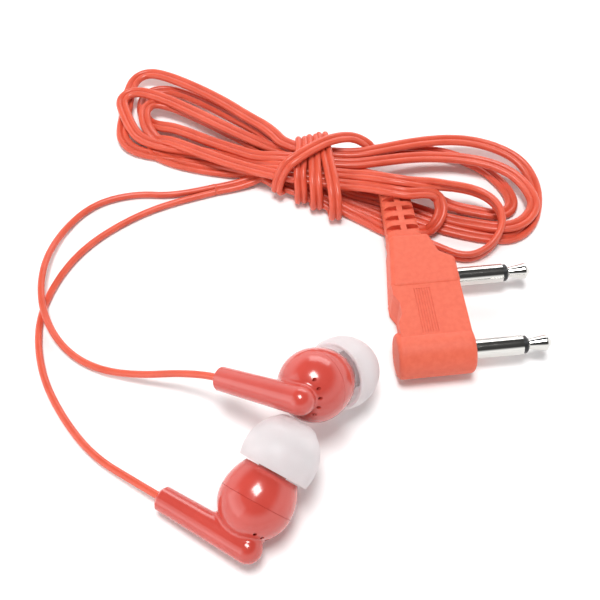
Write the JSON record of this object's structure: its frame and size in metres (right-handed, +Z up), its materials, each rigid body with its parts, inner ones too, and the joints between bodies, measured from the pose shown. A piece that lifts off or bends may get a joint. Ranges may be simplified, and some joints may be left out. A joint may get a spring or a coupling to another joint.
{
  "type": "wired earphones",
  "caption": "Ball-shaped in-ear earphones with silicone tips, a twin cord tied in a hank and a plug with parallel round pins.",
  "frame": {"origin": "on the table under the middle of the two earbuds", "axes": "+X the way the plug's pins point, +Z up from the table the earphones lie on, +Y from the earbuds towards the cord's hank"},
  "size_m": [0.101, 0.1138, 0.0179],
  "materials": {
    "coral_abs": "glossy moulded ABS",
    "steel_mesh": "fine perforated steel",
    "driver_plastic": "black moulded plastic",
    "plated_steel": "zinc plated",
    "magnet": "nickel plated neodymium",
    "copper_wire": "enamelled copper",
    "pet_film": "thin polyester film",
    "circuit_board": "fibreglass board",
    "felt": "acoustic felt",
    "coral_pvc_cord": "satin soft PVC",
    "clear_silicone": "translucent silicone",
    "coral_pvc": "matte moulded soft PVC",
    "nickel": "bright nickel plated brass",
    "black_nylon": "black moulded nylon",
    "tinned_brass": "tinned"
  },
  "bodies": {
    "root": {"far_pin_insulator": "black_nylon", "far_pin_sleeve": "nickel", "far_pin_solder_lug": "tinned_brass", "far_pin_tip": "nickel", "left_cord": "coral_pvc_cord", "left_cord_knot": "coral_pvc_cord", "left_diaphragm": "pet_film", "left_driver_cover": "plated_steel", "left_driver_frame": "driver_plastic", "left_driver_magnet": "magnet", "left_driver_top_plate": "plated_steel", "left_driver_yoke": "plated_steel", "left_front_shell": "coral_abs", "left_nozzle_mesh": "steel_mesh", "left_rear_shell": "coral_abs", "left_terminal_board": "circuit_board", "left_vent_felt": "felt", "left_voice_coil": "copper_wire", "near_pin_insulator": "black_nylon", "near_pin_sleeve": "nickel", "near_pin_solder_lug": "tinned_brass", "near_pin_tip": "nickel", "plug_body": "coral_pvc", "plug_strain_relief": "coral_pvc", "plug_wires": "copper_wire", "right_cord": "coral_pvc_cord", "right_cord_knot": "coral_pvc_cord", "right_diaphragm": "pet_film", "right_driver_cover": "plated_steel", "right_driver_frame": "driver_plastic", "right_driver_magnet": "magnet", "right_driver_top_plate": "plated_steel", "right_driver_yoke": "plated_steel", "right_front_shell": "coral_abs", "right_nozzle_mesh": "steel_mesh", "right_rear_shell": "coral_abs", "right_terminal_board": "circuit_board", "right_vent_felt": "felt", "right_voice_coil": "copper_wire", "twin_cord_hank": "coral_pvc_cord", "twin_cord_winding": "coral_pvc_cord"},
    "left_ear_tip": {"left_ear_tip": "clear_silicone"},
    "right_ear_tip": {"right_ear_tip": "clear_silicone"}
  },
  "joints": [
    {"name": "left_ear_tip_turn", "type": "hinge", "parent": "root", "child": "left_ear_tip", "pos_m": [-0.0033, -0.00925, 0.0062], "axis": [0.5607, 0.7577, 0.3338], "continuous": true},
    {"name": "right_ear_tip_turn", "type": "hinge", "parent": "root", "child": "right_ear_tip", "pos_m": [0.0079, 0.00785, 0.011], "axis": [0.6755, 0.5277, -0.515], "continuous": true}
  ]
}
